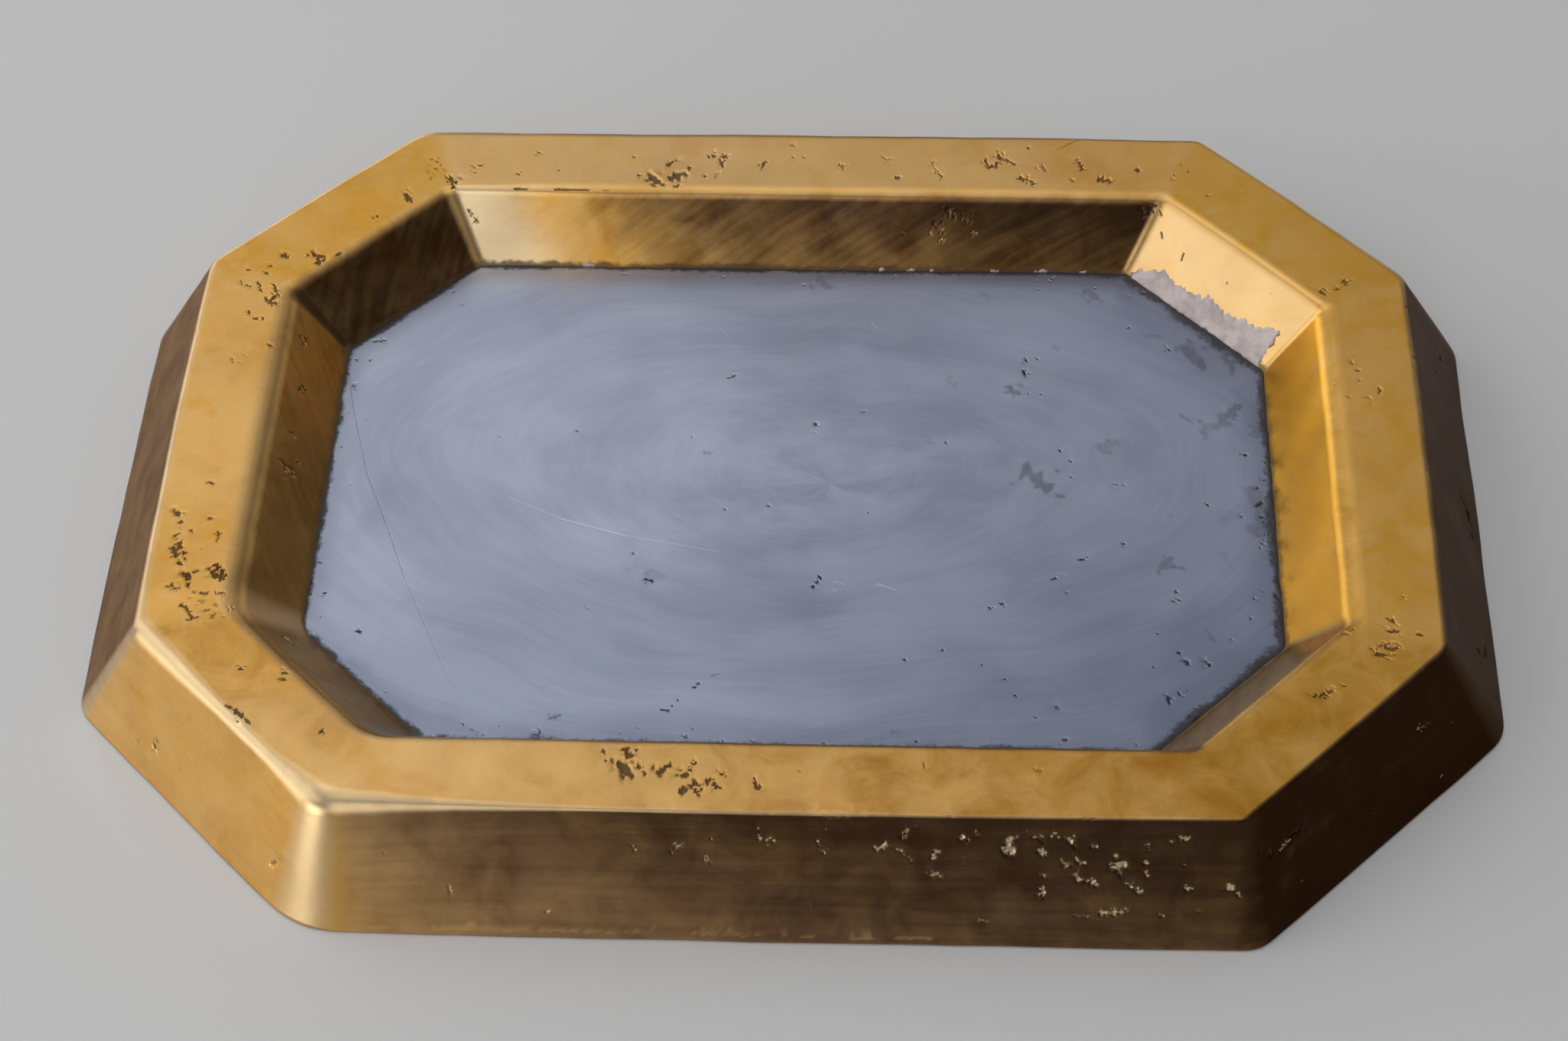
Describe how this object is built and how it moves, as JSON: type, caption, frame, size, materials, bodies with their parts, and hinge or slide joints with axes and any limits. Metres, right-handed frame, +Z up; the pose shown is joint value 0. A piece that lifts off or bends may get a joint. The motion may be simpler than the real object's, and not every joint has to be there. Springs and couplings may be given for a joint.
{
  "type": "valet tray",
  "caption": "Octagonal cast valet tray: a bevelled brass frame round a sunk octagonal pocket, with an aluminium base cast into it.",
  "frame": {"origin": "on the surface the tray stands on, under the middle of its outline", "axes": "+Z up, out of the pocket; +X along the tray's length; +Y across it, away from the side seen in front"},
  "size_m": [0.2188, 0.158, 0.02],
  "materials": {
    "brass": "sand cast, hand polished, pitted and tarnished",
    "aluminium": "sand cast, hand rubbed, with fine scratches and stains"
  },
  "bodies": {
    "root": {"brass_frame": "brass", "aluminium_base": "aluminium"}
  },
  "joints": []
}
